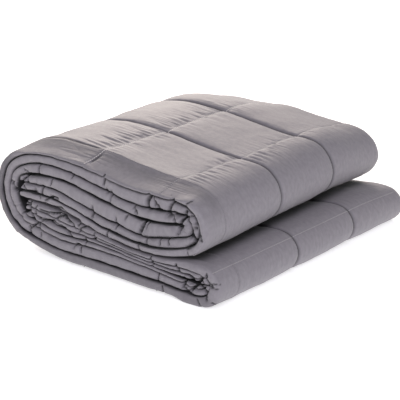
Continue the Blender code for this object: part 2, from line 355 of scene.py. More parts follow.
Stroke = namedtuple("Stroke", "depth length deep lean")
STROKES = {key: [Stroke(*row) for row in rows] for key, rows in {
    # by seam and side: depth and length in cm, deep in mm
    (RIGHT_SEAM + 1, True): (
        (4.9, 6.0, 1.9, 0.10), (6.0, 4.2, 1.5, 0.06), (6.8, 2.6, 1.3, 0.02),
        (7.8, 5.6, 2.0, 0.09), (8.8, 2.6, 1.3, 0.00), (9.8, 4.2, 1.8, 0.05),
        (10.7, 5.0, 1.5, 0.03), (11.7, 3.2, 1.7, -0.04), (12.6, 2.0, 1.2, 0.02),
        (13.5, 3.8, 1.6, -0.06), (14.5, 2.4, 1.3, -0.02), (15.4, 1.6, 1.1, -0.05),
        (17.6, 3.6, 1.6, 0.06), (18.8, 2.2, 1.2, 0.02), (19.7, 4.4, 1.5, 0.05),
        (20.9, 2.7, 1.4, 0.00), (21.9, 3.8, 1.3, -0.03), (23.2, 2.0, 1.2, 0.03),
        (24.6, 3.0, 1.2, -0.04), (26.0, 1.8, 1.0, 0.00), (27.2, 2.4, 1.2, -0.05),
    ),
    (RIGHT_SEAM + 1, False): (
        (5.4, 1.5, 1.0, 0.00), (7.2, 1.1, 0.9, 0.05), (8.9, 1.8, 1.0, 0.02),
        (10.2, 1.0, 0.8, 0.00), (13.0, 2.0, 1.2, 0.06), (13.9, 2.6, 1.3, 0.08),
        (15.0, 1.8, 1.2, 0.03), (18.0, 1.2, 0.9, 0.00), (20.3, 1.5, 0.9, 0.03),
        (23.8, 1.1, 0.8, 0.00),
    ),
    (RIGHT_SEAM, True): (
        (10.4, 1.2, 0.9, 0.00), (12.3, 1.8, 1.1, 0.04), (13.3, 2.2, 1.2, 0.05),
        (14.3, 1.5, 1.1, 0.02), (15.2, 2.0, 1.2, 0.04), (22.5, 1.3, 0.9, 0.00),
        (24.1, 1.7, 1.0, 0.03), (25.6, 1.4, 1.0, 0.02),
    ),
    (RIGHT_SEAM, False): (
        (5.0, 3.6, 1.3, -0.06), (5.9, 4.6, 1.6, -0.05), (6.9, 3.4, 1.3, -0.03),
        (7.9, 4.4, 1.5, -0.03), (9.2, 3.0, 1.2, 0.00), (10.6, 3.6, 1.3, 0.02),
        (12.2, 2.4, 1.1, 0.00), (13.8, 2.8, 1.1, 0.03), (17.3, 4.4, 1.7, -0.07),
        (18.2, 5.2, 1.7, -0.05), (19.2, 3.6, 1.6, -0.03), (20.2, 4.8, 1.6, -0.01),
        (21.4, 3.0, 1.3, 0.02), (23.0, 3.8, 1.2, 0.00), (25.2, 2.6, 1.1, 0.03),
    ),
}.items()}
STROKE_WIDTH = 1.5 * MM
STROKE_START, STROKE_FADE = 0.28, 0.6   # shares of its length over which it comes and goes
BANK_HEIGHT = 0.45            # beside a trough the cloth is thrown up into a bank
BANK_OFF = 2.2                # in widths of a stroke
BORDER_CALM = 0.15            # the border beside the near hem is hardly puckered
CALM_EDGE = 1.2 * CM
CALM_BLEND = 1.5 * CM
NOTCH_DEEP = 2.6 * MM         # but one seam folds it in where it crosses it on top
NOTCH_WIDTH = 2.4 * MM
NOTCH_AWAY = 3.0 * MM
NOTCH_DEPTHS = (0.7 * CM, 3.9 * CM)
OPEN_SIDE_X = 5.5 * CM
SPINE_X = -20.0 * CM
TOP_Z = 10.5 * CM
HIDDEN_RELIEF = 0.15          # where a ply lies on another the faces are pressed flat
HIDDEN_BLEND = 1.5 * CM
UP_FROM, UP_BLEND = 0.05, 0.9         # cosines of the strip's heading
DOWN_FROM, DOWN_BLEND = 0.35, 0.5
UNEVEN = (                    # height, pitch along and across the strip, and layer of the noise
    (0.9 * MM, 4.5 * CM, 4.0 * CM, 3.0),
    (0.35 * MM, 1.6 * CM, 1.1 * CM, 9.0),
)
print(sum(map(len, STROKES.values())), "troughs placed by hand")

# %% [markdown]
# ## The relief, one part at a time
# Each function below answers one question about a spot on the flat quilt: how deep its troughs
# are, whether it shows, how tight it is drawn, how full its pocket is. The last one adds up the
# relief of the face that shows.

# %% Relief of the face that shows
def stroke_depth(seam, away, depth):
    """Thin troughs that the thread throws across a seam on top, placed one by one."""
    total = 0.0
    for stroke in STROKES.get((seam, away > 0), ()):
        share = abs(away) / (stroke.length * CM)
        if share < 1.0:
            off = depth - stroke.depth * CM - stroke.lean * abs(away)
            shape = math.exp(-(off / STROKE_WIDTH) ** 2)
            bank = math.exp(-((off - BANK_OFF * STROKE_WIDTH) / STROKE_WIDTH) ** 2)
            shape -= BANK_HEIGHT * bank
            fade = smooth_step(share / STROKE_START) * smooth_step((1 - share) / STROKE_FADE)
            total += stroke.deep * MM * shape * fade
    return total


def notch_share(cross_seam, cross, depth):
    """Where the border is folded in along one of the seams, from 0 to 1."""
    if cross_seam != RIGHT_SEAM + 1:
        return 0.0
    low, high = NOTCH_DEPTHS
    fade = smooth_step((depth - low) / CM) * smooth_step((high - depth) / CM)
    return fade * math.exp(-((cross + NOTCH_AWAY) / NOTCH_WIDTH) ** 2)


def open_share(length):
    """1 where the outer ply shows, 0 where it lies on another ply or on the surface below."""
    spot = spot_at(length)
    return smooth_step(1 + max(spot.x - OPEN_SIDE_X, SPINE_X - spot.x, spot.z - TOP_Z)
                       / HIDDEN_BLEND)


def faces_up(length):
    """1 where the outer ply is the top of the stack, 0 elsewhere round the strip."""
    spot = spot_at(length)
    if spot.z <= TOP_RUN_Z:
        return 0.0
    return smooth_step((-math.cos(spot.heading) - UP_FROM) / UP_BLEND)


def faces_down(length):
    """1 where the outer ply lies on the surface below."""
    spot = spot_at(length)
    if spot.z >= LOW_RUN_Z:
        return 0.0
    return smooth_step((math.cos(spot.heading) - DOWN_FROM) / DOWN_BLEND)


def fold_tautness(length):
    """1 where the cloth is drawn tight round a fold or the spine, 0 where it lies flat."""
    spot = spot_at(length)
    return max(smooth_step((spot.x - TAUT_X) / TAUT_BLEND),
               smooth_step((TAUT_SPINE_X - spot.x) / TAUT_BLEND))


def groove_share(long_seam, length):
    """How far a seam along the strip is drawn in, as a share of its full groove."""
    if long_seam:
        return 1.0
    left = smooth_step((NEAR_GROOVE_FROM - spot_at(length).x) / NEAR_GROOVE_BLEND)
    return NEAR_GROOVE + (1 - NEAR_GROOVE) * left


def pocket_fullness(length, depth):
    """Share of the full half thickness, pinched at the seams."""
    cross, _ = nearest(CROSS_SEAMS, length)
    along, long_seam = nearest(LONG_SEAMS, depth)
    deep = NEAR_PINCH if long_seam == 0 else LONG_PINCH
    if along < 0:
        pinch_long = deep * math.exp(along / LONG_PINCH_NEAR)
    else:
        pinch_long = deep * (LONG_WALL_SHARE * math.exp(-along / LONG_PINCH_WALL)
                             + (1 - LONG_WALL_SHARE) * math.exp(-along / LONG_PINCH_FAR))
    crest = CREST_RISE * faces_up(length)
    if depth < BORDER:
        share = depth / BORDER
        low = HEM_FULL + (HEM_LOW - HEM_FULL) * faces_up(length)
        low += (HEM_LIFTED - HEM_FULL) * faces_down(length)
        rise = low + (1 - NEAR_PINCH + crest - low) * share ** BORDER_CURVE
        pinch_long = 1 - rise - BORDER_SWELL * math.sin(math.pi * share) ** 2
    elif long_seam == 0:
        pinch_long -= crest * math.exp(-along / CREST_BACK)
    slope = CROSS_PINCH_STEEP if cross < 0 else CROSS_PINCH_GENTLE
    pinch_cross = CROSS_PINCH * math.exp(-abs(cross) / slope)
    taut = fold_tautness(length)
    pinch_long *= 1 - TAUT_SHARE * taut
    pinch_cross *= 1 - TAUT_SHARE * taut
    pinch_cross *= 1 - CREST_HOLD * math.exp(-((depth - BORDER) / CREST_HOLD_REACH) ** 2)
    return (1 - pinch_long) * (1 - pinch_cross)


def shown_relief(length, depth):
    """Height of grooves, puckers and soft unevenness on the face that shows."""
    cross, cross_seam = nearest(CROSS_SEAMS, length)
    along, long_seam = nearest(LONG_SEAMS, depth)
    inwards = smooth_step((depth - BORDER + CALM_EDGE) / CALM_BLEND)
    calm = BORDER_CALM + (1 - BORDER_CALM) * inwards
    height = PUCKER_HEIGHT * calm * puckers(
        depth, cross, cross_seam, PUCKER_SPACING, PUCKER_REACH)
    height += LONG_PUCKER_HEIGHT * puckers(
        length, along, long_seam + LONG_ROWS, LONG_PUCKER_SPACING, LONG_PUCKER_REACH)
    height -= stroke_depth(cross_seam, cross, depth)
    height -= NOTCH_DEEP * notch_share(cross_seam, cross, depth)
    groove = LONG_GROOVE * groove_share(long_seam, length)
    height -= groove * math.exp(-(along / GROOVE_WIDTH) ** 2)
    for rise, pitch_along, pitch_across, layer in UNEVEN:
        height += rise * noise_at(length / pitch_along, depth / pitch_across, layer)
    return height * (HIDDEN_RELIEF + (1 - HIDDEN_RELIEF) * open_share(length))


print("fullness at a crossing", round(pocket_fullness(first_seam, BORDER), 2))

# %% [markdown]
# ## Where a point of the flat quilt ends up
# Across the quilt a point lies on one of the three plies, on the round bend at the far end that
# joins the outer and middle plies, on the creased fold at the near end that joins the middle and
# inner ones, or on the rounded nose of the near hem. Each case gives a depth and an offset
# outwards from the strip's middle. The strip then carries both to their place.

# %% Plies, bend and near fold
Place = namedtuple("Place", "kind at")
LIP_FRONT = 0.10 * CM
LIP_BACK = 1.6 * CM
CREASE_Y = 1.9 * CM
POUCH_FRONT = 2.6 * CM
POUCH_BACK = 3.1 * CM
NOSE_BACK = 1.5 * CM
NOSE_EDGE_ANGLE = -42.0
NOSE_FULL = 1.2 * CM          # thinner parts of the hem are rounded over less
BEND_DEPTH = 1.4 * CM
BEND_INSIDE = 0.5 * CM
SQUARENESS = 0.5
HEM_THICKNESS = 1.8 * MM
HEM_CORE = 0.80               # share of the thickness left at the strip's two ends
HEM_ROUND = 0.6 * CM
HEM_END = 0.2                 # how far the rounding has come at the very end
RIPPLE_STEP = 6.1             # the ripples of each ply are drawn from a row of their own
RIPPLES = ((1.4, 1.7 * CM, 55.0), (0.6, 0.6 * CM, 30.0))  # height in mm, pitch along and round


def squared(value):
    """Swells a sine or cosine, so that a round end becomes a blunt one with round corners."""
    return math.copysign(abs(value) ** SQUARENESS, value)


def ply_half(ply, spot):
    return (getattr(spot, ply) - GAP) / 2


def end_taper(length):
    """The strip's own two ends are rounded off."""
    near_end = min(length, STRIP_LENGTH - length)
    return HEM_CORE + (1 - HEM_CORE) * smooth_step(HEM_END + (1 - HEM_END) * near_end / HEM_ROUND)


def end_ripple(length, ply_number, angle):
    """Small crumples in the rounded end of a ply."""
    row = ply_number * RIPPLE_STEP
    return MM * sum(height * noise_at(length / pitch, row, angle / turn)
                    for height, pitch, turn in RIPPLES)


def on_ply(place, side, spot, length):
    facing = -side if place.kind == "middle" else side
    half = ply_half(place.kind, spot)
    full = pocket_fullness(length, place.at)
    taper = end_taper(length)
    if place.kind == "outer" and side > 0:
        height = half * full * taper + shown_relief(length, place.at)
    else:
        height = half * (1 - PACKED_PINCH * (1 - full)) * taper
    return place.at, ply_offset(place.kind, spot) + facing * height


def on_nose(place, side, spot, length):
    """The near hem of the outer ply, thin and rounded over towards the ply below it."""
    taper = end_taper(length)
    bottom = ply_offset("outer", spot) - ply_half("outer", spot) * taper
    if side < 0:
        return place.at * CM, bottom
    angle = math.radians(place.at)
    middle = bottom + HEM_THICKNESS / 2
    back = NOSE_BACK * min(spot.outer / NOSE_FULL, 1.0)
    ripple = end_ripple(length, 0, place.at) * math.cos(angle)
    if angle < 0:
        return back * (1 - math.cos(angle)) + ripple, middle + HEM_THICKNESS / 2 * math.sin(angle)
    depth = back * (1 - squared(math.cos(angle)))
    full = pocket_fullness(length, depth)
    top = ply_offset("outer", spot) + ply_half("outer", spot) * full * taper
    relief = shown_relief(length, depth) * math.sin(angle)
    return depth + ripple, middle + (top - middle) * squared(math.sin(angle)) + relief


def on_far_bend(place, side, spot, length):
    angle = math.radians(place.at)
    start = PLY_DEPTH - BEND_DEPTH
    if side < 0:
        middle = ply_offset("outer", spot) / 2
        return start + BEND_INSIDE * math.cos(angle), middle + GAP / 2 * math.sin(angle)
    depth_on_ply = start + BEND_DEPTH * math.sin(math.radians(90 - max(place.at, 0.0)))
    full = pocket_fullness(length, depth_on_ply)
    relief = shown_relief(length, depth_on_ply)
    top = ply_offset("outer", spot) + ply_half("outer", spot) * end_taper(length)
    bottom = -ply_half("middle", spot) * end_taper(length)
    reach = (top - bottom) / 2
    share = max(math.sin(angle), 0.0)
    swell = reach * (1 - share) + (reach - ply_half("outer", spot) * (1 - full)) * share + relief
    return (start + (BEND_DEPTH + relief) * math.cos(angle),
            (top + bottom) / 2 + swell * math.sin(angle))


def on_near_fold(place, side, spot, length):
    crease = -ply_half("middle", spot) - GAP / 2
    sign = -1 if place.at > 0 else 1
    if side > 0:
        share = abs(place.at)
        depth = POUCH_FRONT + (POUCH_BACK - POUCH_FRONT) * share
        return depth, crease + sign * GAP / 2 * math.sqrt(share)
    if place.at == 0:
        return CREASE_Y, crease
    ply = "inner" if place.at > 0 else "middle"
    number = 2 if place.at > 0 else 1
    angle = math.radians(180.0 * abs(place.at) - 90.0)
    front = LIP_FRONT + end_ripple(length, number, math.degrees(angle))
    half = ply_half(ply, spot) * end_taper(length)
    back = LIP_BACK if angle > 0 else CREASE_Y
    return (back - (back - front) * squared(math.cos(angle)),
            ply_offset(ply, spot) + sign * half * squared(math.sin(angle)))


WAYS = {"nose": on_nose, "far": on_far_bend, "near": on_near_fold}
print("besides the flat plies there are three bends:", *WAYS)

# %% [markdown]
# ## How the heavy stack settles
# The near section is only exact at the near end. Behind it the stack is a little lower, its far
# end falls away, and the two folds on the open side drift, the upper one in and the lower one
# out. The underside is pressed flat where it meets the surface.

# %% Settling
BED = 0.34 * CM
SETTLE = 0.03
SETTLE_REACH = 7.0 * CM
FAR_DROP = 0.085
SPINE_DROP = 0.06             # the far end falls away more over the spine
SPINE_DROP_FROM = -4.0 * CM
SPINE_DROP_REACH = 8.0 * CM
FAR_DROP_FROM = 30.5 * CM
UPPER_DRIFT = -1.9 * CM
LOWER_DRIFT = 0.4 * CM
DRIFT_FROM_X = 3.0 * CM
DRIFT_REACH = 7.0 * CM
MOUTH_Z = 5.6 * CM            # the strip's runs above this are part of the upper fold
WAVER = 0.06 * CM
WAVER_PITCH = 4.3 * CM
WAVER_REACH = 5.0 * CM
WAVER_PHASE = {"outer": 0.0, "nose": 0.0, "middle": 2.1, "near": 2.8, "inner": 3.6, "far": 0.0}


def fold_drift(x, spot):
    reach = smooth_step((x - DRIFT_FROM_X) / DRIFT_REACH)
    return reach * (UPPER_DRIFT if spot.z > MOUTH_Z else LOWER_DRIFT)


def folded_point(place, side, spot, length):
    """Where a point of the flat quilt lies once it is folded up and has settled."""
    y, offset = WAYS.get(place.kind, on_ply)(place, side, spot, length)
    stray = math.sin(length / WAVER_PITCH + WAVER_PHASE[place.kind])
    y += WAVER * stray * math.exp(-y / WAVER_REACH)
    x = spot.x + offset * math.sin(spot.heading)
    z = spot.z - offset * math.cos(spot.heading) - BED
    x += fold_drift(x, spot) * y / PLY_DEPTH
    z *= 1 - SETTLE * (1 - math.exp(-y / SETTLE_REACH))
    drop = FAR_DROP + SPINE_DROP * smooth_step((SPINE_DROP_FROM - x) / SPINE_DROP_REACH)
    z *= 1 - drop * smooth_step((y - FAR_DROP_FROM) / (PLY_DEPTH - FAR_DROP_FROM))
    return Vector((x - CENTRE_X, y - CENTRE_Y, max(z, 0.0)))


start = folded_point(Place("outer", BORDER), 1, spot_at(0.0), 0.0)
print("the strip starts inside the stack, at", [round(value / CM, 1) for value in start], "cm")

# %% [markdown]
# ## Spacing the mesh
# Fine puckers need points every few millimetres, but only on the face that shows. So the mesh
# starts wide along the strip. Its lengthwise edges are halved where the cloth shows, and cut into
# four again round the ply ends. The edges across the strip are halved beside the two seams that
# have troughs. A row of points always falls exactly on a seam, which keeps its valley sharp.

# %% Stations along and across
SEAM_MARGIN = 1.0 * CM        # the mesh is closest this near to a seam
BASE_ALONG = (4.2 * MM, 10.0 * MM)
FINE_ACROSS = (1.9 * MM, 4.1 * MM)
WIDE_ACROSS = 30.0 * MM
STROKE_ROOM = 5.0 * CM        # the mesh is finer this near to a seam with troughs


def even(start, stop, spacing):
    count = max(1, round(abs(stop - start) / spacing))
    return [float(value) for value in np.linspace(start, stop, count + 1)]


def graded(start, stop, fine, wide):
    """From one seam to the next, closer together beside both."""
    near, far = start + SEAM_MARGIN, stop - SEAM_MARGIN
    if far <= near:
        return even(start, stop, fine)
    return even(start, near, fine) + even(near, far, wide)[1:] + even(far, stop, fine)[1:]


def stations_along():
    bounds = [0.0, *CROSS_SEAMS, STRIP_LENGTH]
    stations = [0.0]
    for a, b in zip(bounds, bounds[1:]):
        stations += graded(float(a), float(b), *BASE_ALONG)[1:]
    return stations


def places(kind, start, stop, spacing):
    return [Place(kind, at) for at in even(start, stop, spacing)]


def places_shown():
    """Across the face that shows: nose, outer ply, far bend, then the inside of the near fold."""
    line = places("nose", NOSE_EDGE_ANGLE, 90.0, 11.0)
    bounds = [NOSE_BACK, *LONG_SEAMS[:-1], PLY_DEPTH - BEND_DEPTH]
    for a, b in zip(bounds, bounds[1:]):
        line += [Place("outer", depth) for depth in graded(float(a), float(b), *FINE_ACROSS)[1:]]
    line += places("far", 90.0, -90.0, 15.0)[1:]
    line += places("middle", PLY_DEPTH - 3 * CM, 5 * CM, WIDE_ACROSS)
    line += places("near", -1.0, 1.0, 0.5)
    line += places("inner", 5 * CM, PLY_DEPTH - 5 * CM, WIDE_ACROSS)
    return line + [Place("inner", PLY_DEPTH - BORDER)]


def places_hidden():
    """Across the other face, which shows only where the near fold turns outwards."""
    line = [Place("nose", 0.5), Place("nose", 1.0)]
    line += places("outer", 2 * CM, PLY_DEPTH - 3 * CM, WIDE_ACROSS)
    line += places("far", 90.0, -90.0, 45.0)
    line += places("middle", PLY_DEPTH - 3 * CM, 4 * CM, WIDE_ACROSS)
    line += places("near", -1.0, 1.0, 1 / 12)
    line += places("inner", 4 * CM, PLY_DEPTH - 5 * CM, WIDE_ACROSS)
    return line + [Place("inner", PLY_DEPTH - BORDER)]


stations = stations_along()
station_numbers = range(len(stations))
across = {1: places_shown(), -1: places_hidden()}
print(len(stations), "stations,", len(across[1]), "and", len(across[-1]), "places across")

# %% [markdown]
# ## Creases at the ply ends
# The near end shows short dark marks where a seam pulls a ply end in, a cleft where the top ply
# tucks under, and crumpled places inside the folds. Each was placed one by one. A crease is a line
# on the near end, from one point to another, that is pressed in to a depth. A crumple is an oval
# in which the cloth is broken into small pillows with sharp valleys between them.

# %% Creases and crumples, in centimetres
Crease = namedtuple("Crease", "width depth points")
Crumple = namedtuple("Crumple", "x z half_x half_z cell depth")

# Each crease also gets painted shade along its middle when the quilt is folded up.
CREASES = [Crease(width, depth, [*zip(line[0::2], line[1::2])]) for width, depth, *line in (
    # the width and depth of each, then x and z of each of its points
    # where a seam pulls in the end of a ply, from left to right
    (0.13, 1.3, -16.0, 12.8, -16.0, 11.6), (0.10, 0.9, -13.8, 11.2, -13.9, 10.6),
    (0.10, 0.9, -10.4, 12.9, -10.2, 12.4), (0.12, 1.3, -4.7, 13.8, -5.1, 12.4),
    (0.12, 1.0, -4.6, 11.9, -4.6, 11.5), (0.12, 1.2, -3.8, 11.8, -4.0, 10.6),
    (0.15, 1.3, -7.0, 8.9, -7.0, 7.7), (0.12, 1.1, -3.1, 8.6, -3.0, 7.4),
    (0.10, 0.9, -1.3, 9.3, -1.5, 8.8), (0.12, 1.0, -4.3, 6.6, -4.5, 5.9),
    (0.13, 1.1, -6.6, 5.7, -6.7, 4.9), (0.12, 1.0, -9.1, 3.1, -9.1, 2.5),
    (0.09, 0.7, -10.2, 3.0, -9.6, 3.6, -9.1, 3.6), (0.10, 0.8, -16.1, 3.4, -16.0, 2.9),
    (0.12, 1.1, 0.7, 6.1, 0.8, 5.4), (0.12, 1.2, 2.6, 5.0, 2.9, 4.0),
    (0.10, 0.9, 3.7, 2.9, 3.7, 2.1), (0.14, 1.3, 4.5, 1.6, 4.6, 0.5),
    (0.11, 1.1, 10.0, 1.2, 10.6, 0.2), (0.13, 1.3, 6.2, 13.1, 5.2, 11.2),
    (0.08, 0.8, 5.4, 13.8, 5.5, 13.4), (0.08, 0.8, 8.8, 13.4, 8.2, 13.0),
    (0.12, 1.0, 1.8, 6.9, 1.8, 6.5), (0.12, 1.0, 3.9, 7.4, 4.0, 6.9),
    (0.12, 1.0, 5.2, 7.8, 5.4, 7.2), (0.10, 0.6, 8.4, 7.0, 8.4, 6.3),
    # the cleft where the top ply tucks under
    (0.20, 1.2, 2.5, 12.9, 2.0, 11.8, 2.0, 11.1), (0.10, 0.7, 2.9, 12.9, 3.3, 11.9),
    (0.20, 1.0, 3.3, 11.9, 3.8, 11.5), (0.12, 0.9, 2.1, 10.8, 4.1, 11.3, 5.0, 11.0),
    (0.16, 1.1, -0.2, 10.7, 0.3, 10.0),
    # round the upper fold, where its outer ply stands off from the next
    (0.20, 1.3, 5.9, 12.85, 6.9, 12.78, 8.1, 12.5, 9.2, 11.87, 9.85, 11.0, 10.08, 9.9, 9.9, 9.0,
     9.27, 8.1, 8.3, 7.4),
    # inside the upper fold: the star, the lump beside it and the pad below
    (0.12, 0.9, 5.0, 11.0, 6.1, 10.9, 6.8, 9.6), (0.18, 1.2, 6.2, 11.3, 7.8, 11.2, 8.0, 11.9),
    (0.18, 1.1, 7.8, 11.2, 7.4, 10.6, 6.9, 9.2), (0.09, 0.6, 7.8, 11.2, 9.3, 11.7),
    (0.08, 0.6, 8.1, 10.9, 9.0, 10.3), (0.09, 0.7, 9.4, 9.9, 9.6, 10.8, 9.5, 11.6),
    (0.14, 0.9, 10.3, 9.6, 10.6, 8.9), (0.18, 1.3, 1.4, 9.1, 0.7, 7.5),
    (0.10, 1.0, 2.1, 9.2, 1.6, 8.3), (0.10, 0.8, 6.9, 9.2, 6.6, 8.6),
    (0.18, 1.1, 8.6, 8.9, 9.1, 9.3, 9.3, 8.5),
    # inside the lower fold: another star and its notches
    (0.16, 1.0, 6.6, 4.9, 7.0, 4.3), (0.16, 1.2, 7.9, 3.2, 7.5, 2.3, 8.2, 1.8),
    (0.18, 1.2, 8.6, 3.9, 9.8, 3.2, 8.7, 2.0), (0.18, 1.2, 10.5, 4.2, 9.8, 3.2, 11.1, 2.5),
    (0.10, 0.8, 9.8, 3.2, 11.7, 3.4), (0.18, 1.2, 11.2, 2.4, 11.2, 1.7),
    (0.16, 1.1, 11.2, 4.8, 11.3, 4.2, 12.2, 3.3), (0.12, 0.9, 12.1, 1.4, 12.5, 0.7),
    (0.08, 0.6, 12.3, 3.9, 13.0, 3.9), (0.08, 0.6, 12.3, 3.4, 13.0, 3.3),
    # the rolled end that is tucked in on the left
    (0.16, 1.2, -17.7, 7.6, -17.9, 6.0, -17.4, 5.2, -16.3, 4.3),
    (0.12, 1.0, -15.9, 6.8, -14.8, 6.6, -12.3, 6.9, -10.1, 6.1, -10.0, 5.7),
    (0.13, 1.0, -13.2, 6.0, -12.7, 6.5, -12.0, 6.7),
    (0.12, 1.0, -15.9, 5.2, -13.9, 5.6, -11.7, 5.1, -10.6, 4.4),
    (0.09, 0.8, -16.5, 7.1, -16.9, 6.5, -16.8, 5.8, -15.9, 5.2),
    (0.13, 1.1, -13.5, 7.6, -12.2, 7.8, -10.6, 7.0, -9.0, 6.9, -9.3, 6.1),
    (0.11, 0.9, -9.3, 5.3, -8.7, 6.0, -7.6, 6.4, -6.6, 6.1), (0.13, 1.0, -8.3, 4.6, -8.2, 4.0),
    # crumpled plies behind it, up to the spine
    (0.12, 0.9, -15.0, 8.2, -13.6, 9.0, -12.8, 8.9), (0.14, 1.1, -15.5, 9.9, -15.7, 8.8),
    (0.09, 0.7, -16.9, 9.3, -15.8, 8.3), (0.14, 1.1, -19.2, 9.3, -18.4, 8.6, -16.9, 8.8),
    (0.22, 1.2, -18.3, 10.4, -18.2, 9.9), (0.13, 1.0, -20.0, 7.4, -19.0, 7.5, -18.0, 7.0),
    (0.14, 1.0, -20.9, 9.4, -20.5, 8.2), (0.08, 0.7, -18.8, 11.6, -17.7, 11.1),
    (0.12, 0.9, -19.6, 9.2, -18.9, 10.2, -18.2, 10.8), (0.13, 1.1, -19.2, 5.5, -18.2, 5.9),
    (0.13, 1.0, -18.2, 3.8, -18.0, 3.0), (0.11, 0.8, -18.0, 3.6, -16.9, 4.5),
)]
CRUMPLES = [Crumple(*row) for row in (
    (7.4, 10.1, 2.3, 1.7, 1.9, 0.30),
    (3.2, 12.2, 1.7, 1.1, 2.0, 0.20),
    (-20.2, 7.3, 1.6, 4.0, 1.9, 0.30),
    (-15.2, 6.4, 4.4, 1.9, 1.8, 0.28),
    (-17.4, 10.4, 2.3, 1.6, 1.9, 0.25),
    (-7.5, 5.7, 2.8, 1.0, 1.8, 0.20),
    (9.2, 3.4, 2.0, 1.5, 1.7, 0.25),
)]
CRUMPLE_LIFT = 0.35           # the pillows of a crumple stand out as far as its valleys go in
CREASE_REACH = 3.2 * CM       # no crease is pressed in behind this depth
SHOULDER = 0.2                # share of a crease's depth that is a wide soft dip around it
SHOULDER_WIDTH = 3
CRUMPLE_STEP = 7.7            # each crumple is drawn from a layer of the noise of its own
CRUMPLE_BEND, CRUMPLE_BEND_PACE = 0.2, 1.3
VALLEY_SHARPNESS = 6.0
SWELL, SWELL_PACE = 0.6, 0.8
CRUMPLE_FADE = 2.0
NOISE_SEED = 7                # without a seed the noise vector is another one in each run
noise.seed_set(NOISE_SEED)


def crease_depths(x, z):
    """How far creases press in points given in centimetres, and how near each is to one."""
    pressed = np.zeros(len(x))
    core = np.zeros(len(x))
    for crease in CREASES:
        off = np.full(len(x), np.inf)
        for start, stop in zip(crease.points, crease.points[1:]):
            run = np.subtract(stop, start)
            along = ((x - start[0]) * run[0] + (z - start[1]) * run[1]) / run.dot(run)
            along = np.clip(along, 0.0, 1.0)
            off = np.minimum(off, np.hypot(x - start[0] - along * run[0],
                                           z - start[1] - along * run[1]))
        sharp = np.exp(-(off / crease.width) ** 2)
        pressed += crease.depth * ((1 - SHOULDER) * sharp
                                   + SHOULDER * np.exp(-off / (SHOULDER_WIDTH * crease.width)))
        core = np.maximum(core, sharp * min(crease.depth, 1.0))
    return pressed, core


def crumple_depths(x, z):
    pressed = np.zeros(len(x))
    for number, crumple in enumerate(CRUMPLES):
        inside = ((x - crumple.x) / crumple.half_x) ** 2 + ((z - crumple.z) / crumple.half_z) ** 2
        for i in np.nonzero(inside < 1.0)[0]:
            at = Vector((x[i] / crumple.cell, z[i] / crumple.cell, number * CRUMPLE_STEP))
            at += CRUMPLE_BEND * noise.noise_vector(at * CRUMPLE_BEND_PACE)
            near = noise.voronoi(at)[0]
            valley = math.exp(-(near[1] - near[0]) * VALLEY_SHARPNESS)
            swell = SWELL * noise.noise(at * SWELL_PACE) - CRUMPLE_LIFT
            fade = smooth_step((1.0 - inside[i]) * CRUMPLE_FADE)
            pressed[i] += crumple.depth * (valley + swell) * fade
    return pressed


print(len(CREASES), "creases and", len(CRUMPLES), "crumples")

# %% [markdown]
# ## One closed quilt
# Two flat grids stand for the two faces. They are bridged along all four edges while flat, so
# the quilt is closed, and each point is then moved to its folded place. Three numbers stay at
# each point for the material: how strongly the two kinds of seam gather it, and how much shade
# is painted into its colour. Shade is painted into the slits between plies, the bottoms of seams
# and a few folded-in places.

# %% Two flat grids, closed and cut finer
FLAT_GAP = -0.01
HEM_SHARE = 0.45              # the near hem is thin, so its creases are shallow
SEAM_SHADE = 0.85             # how dark the painted shade at the bottom of a seam along the strip is, next to a slit
# painted shade in the border's notch, and where the border turns away from the light
NOTCH_SHADE = 0.75
SPINE_EDGE_SHADE = 0.42
LOW_EDGE_SHADE = 0.26
SHADE_BLEND = 2 * CM
CREST_SHADE = 0.24            # shade is painted on the border under the crest beside it
CREST_SHADE_DEPTH = 3.1 * CM
CREST_SHADE_REACH = 1.1 * CM
MOUTH_SHADE = 0.92            # and how dark the painted shade is deep between the upper fold and what is below
MOUTH_Z_RANGE = (4.0 * CM, 8.0 * CM)
MOUTH_UPPER_X = 9.9 * CM
MOUTH_LOWER_X = 11.0 * CM
MOUTH_BLEND = 2.6 * CM
ON_A_LINE = 0.01              # a point this near to a line of the grid lies on it
NOSE_FRONT_ANGLE = 70         # the blunt ends of the plies, in degrees and in shares of the fold
FOLD_FRONT_SHARES = (0.12, 0.9)
# where the painted shade of the slits begins, on the nose and on the near fold
NOSE_SLIT_ANGLE, NOSE_SLIT_BLEND = -24.0, 14.0
FOLD_SLIT_SHARE, FOLD_SLIT_BLEND = 0.50, 0.3


def length_of(vert):
    """How far along the strip a point of the flat quilt lies."""
    return float(np.interp(vert.co.x, station_numbers, stations))


def flat_faces(bm):
    """The two faces of the quilt as flat grids, one unit to a station and to a place."""
    skins = {}
    columns = len(stations) - 1
    for side in (1, -1):
        lines = len(across[side]) - 1
        grid = bmesh.ops.create_grid(bm, x_segments=columns, y_segments=lines, size=1.0)
        points = {}
        for vert in grid["verts"]:
            key = (round((vert.co.x + 1) / 2 * columns), round((vert.co.y + 1) / 2 * lines))
            vert.co = (*key, FLAT_GAP if side > 0 else 0.0)
            points[key] = vert
        skins[side] = points
    shown = {face for vert in skins[1].values() for face in vert.link_faces}
    bmesh.ops.reverse_faces(bm, faces=list(shown))
    return skins


def edge_chain(points, keys):
    chain = [points[key] for key in keys]
    edges = []
    for a, b in zip(chain, chain[1:]):
        edges += [edge for edge in a.link_edges if edge.other_vert(a) is b]
    return edges


def close_rim(bm, skins):
    last_column = len(stations) - 1
    for end in (0, 1):
        rims = []
        for side in (1, -1):
            line = end * (len(across[side]) - 1)
            rims += edge_chain(skins[side], [(i, line) for i in range(last_column + 1)])
        bmesh.ops.bridge_loops(bm, edges=rims)
    for column in (0, last_column):
        rims = []
        for side in (1, -1):
            rims += edge_chain(skins[side], [(column, j) for j in range(len(across[side]))])
        bmesh.ops.bridge_loops(bm, edges=rims)


def side_of(vert):
    return 1 if vert.co.z < FLAT_GAP / 2 else -1


